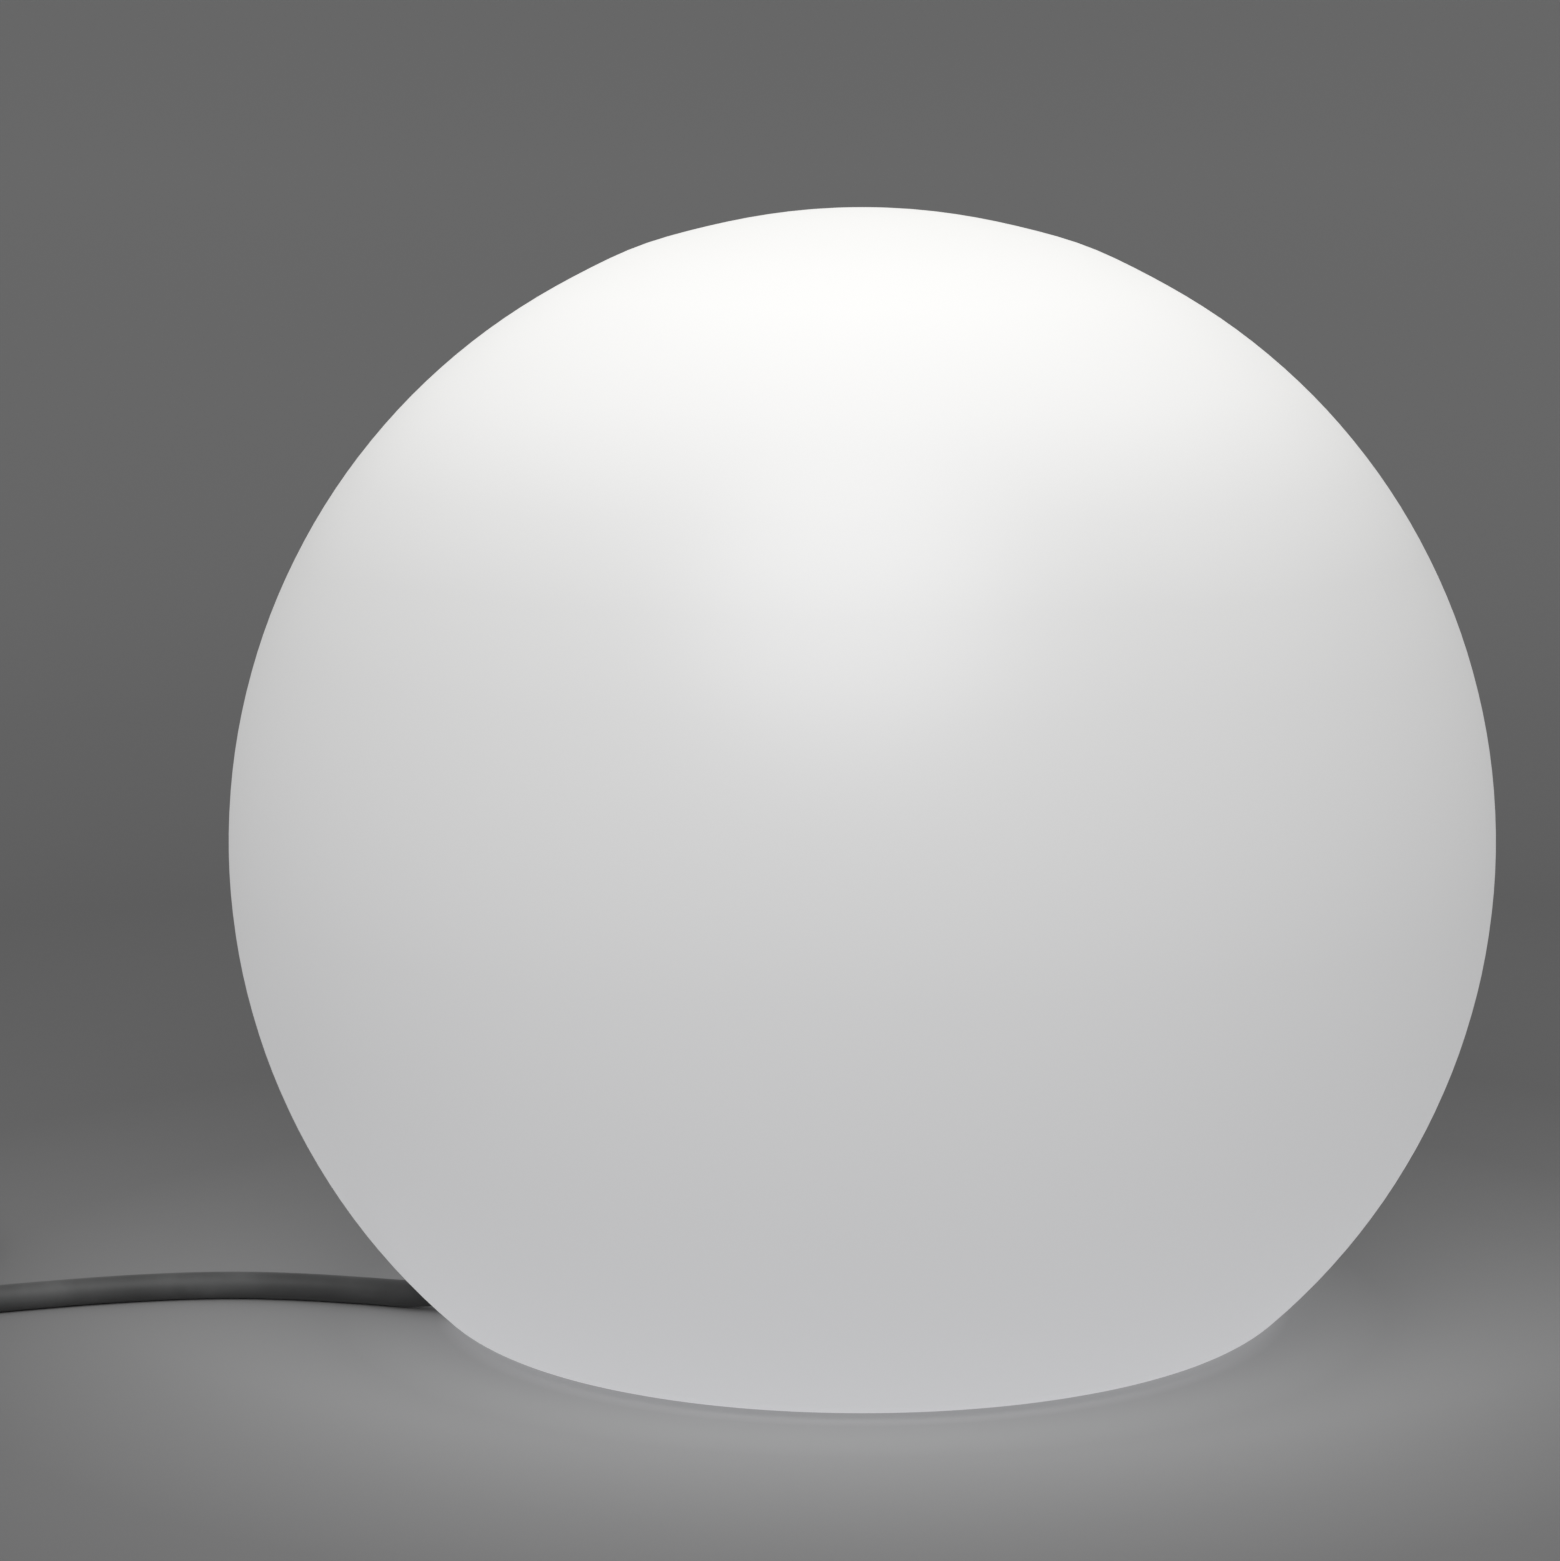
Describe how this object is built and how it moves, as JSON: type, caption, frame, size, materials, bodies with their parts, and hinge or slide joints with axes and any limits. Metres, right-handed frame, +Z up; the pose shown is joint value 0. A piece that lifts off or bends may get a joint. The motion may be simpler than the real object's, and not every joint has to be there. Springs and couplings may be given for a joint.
{
  "type": "garden globe light",
  "caption": "Opal globe light on a low sealed base with a bayonet collar, a screw-in bulb and a rubber mains cord with a plug.",
  "frame": {"origin": "centre of the globe's footprint, on the surface that the feet stand on", "axes": "+Z up through the globe's pole; the cord leaves towards -X; the front is -Y"},
  "size_m": [0.6183, 0.4, 0.3518],
  "materials": {
    "opal_globe": "opal, lit from inside",
    "collar_plastic": "moulded, fine grain",
    "base_plastic": "moulded, fine grain",
    "foot_rubber": "matt",
    "gasket_rubber": "matt silicone",
    "gland_plastic": "matt nylon",
    "cord_rubber": "dark grey, satin",
    "plug_rubber": "matt, moulded",
    "plug_insert": "satin",
    "tie_fabric": "woven hook-and-loop",
    "brass": "turned",
    "nickel": "nickel plated",
    "zinc_steel": "zinc plated",
    "stainless": "stainless",
    "core_brown": "satin",
    "core_blue": "satin",
    "core_green_yellow": "satin, striped",
    "terminal_plastic": "translucent",
    "holder_black": "moulded",
    "porcelain": "glazed",
    "seal_rubber": "matt",
    "bulb_opal": "opal, lit",
    "bulb_white": "satin white",
    "black_glass": "black glass",
    "board_aluminium": "white coated",
    "led_yellow": "phosphor",
    "board_green": "circuit board"
  },
  "bodies": {
    "base": {"base_dish": "base_plastic", "base_feet": "foot_rubber", "gland_washer": "foot_rubber", "gland_body": "gland_plastic", "gland_seal": "seal_rubber", "gland_nut": "gland_plastic", "bend_guard": "gland_plastic", "cord_end": "cord_rubber", "clamp_bar": "base_plastic", "clamp_screws": "stainless", "terminal_block": "terminal_plastic", "terminal_sleeves": "brass", "terminal_screws": "zinc_steel", "block_screw": "zinc_steel", "wire_live": "core_brown", "wire_neutral": "core_blue", "wire_earth": "core_green_yellow", "lead_live": "core_brown", "lead_neutral": "core_blue", "lead_earth": "core_green_yellow", "earth_tag": "zinc_steel", "holder_bracket": "zinc_steel", "bracket_screws": "zinc_steel", "holder_nipple": "zinc_steel", "holder_nut": "zinc_steel", "holder_cup": "holder_black", "holder_insert": "porcelain", "holder_sleeve": "brass", "holder_contact": "brass", "holder_terminals": "zinc_steel", "cord": "cord_rubber", "cord_coil": "cord_rubber", "cord_tail": "cord_rubber", "cord_ties": "tie_fabric", "plug_body": "plug_rubber", "plug_face": "plug_insert", "plug_pins": "nickel", "plug_earth_clips": "nickel"},
    "gasket": {"base_gasket": "gasket_rubber"},
    "globe": {"globe_shell": "opal_globe", "globe_collar": "collar_plastic", "collar_screws": "stainless"},
    "seal": {"holder_seal": "seal_rubber"},
    "bulb": {"bulb_cap": "nickel", "bulb_insulator": "black_glass", "bulb_tip": "zinc_steel", "bulb_housing": "bulb_white", "bulb_dome": "bulb_opal", "bulb_board": "board_aluminium", "bulb_leds": "led_yellow", "bulb_driver": "board_green"}
  },
  "joints": [
    {"name": "globe_twist", "type": "hinge", "parent": "base", "child": "gasket", "pos_m": [0, 0, 0.03], "axis": [0, 0, 1], "range_deg": [0, 8]},
    {"name": "globe_lift", "type": "slide", "parent": "gasket", "child": "globe", "axis": [0, 0, 1], "range_m": [0, 0.2]},
    {"name": "bulb_turn", "type": "hinge", "parent": "base", "child": "seal", "pos_m": [0, 0, 0.1], "axis": [0, 0, 1], "range_deg": [0, 1800]},
    {"name": "bulb_advance", "type": "slide", "parent": "seal", "child": "bulb", "axis": [0, 0, 1], "range_m": [0, 0.01815]}
  ],
  "couplings": [
    {"joint": "bulb_advance", "follows": "bulb_turn", "m_per_rad": 0.00057757}
  ]
}
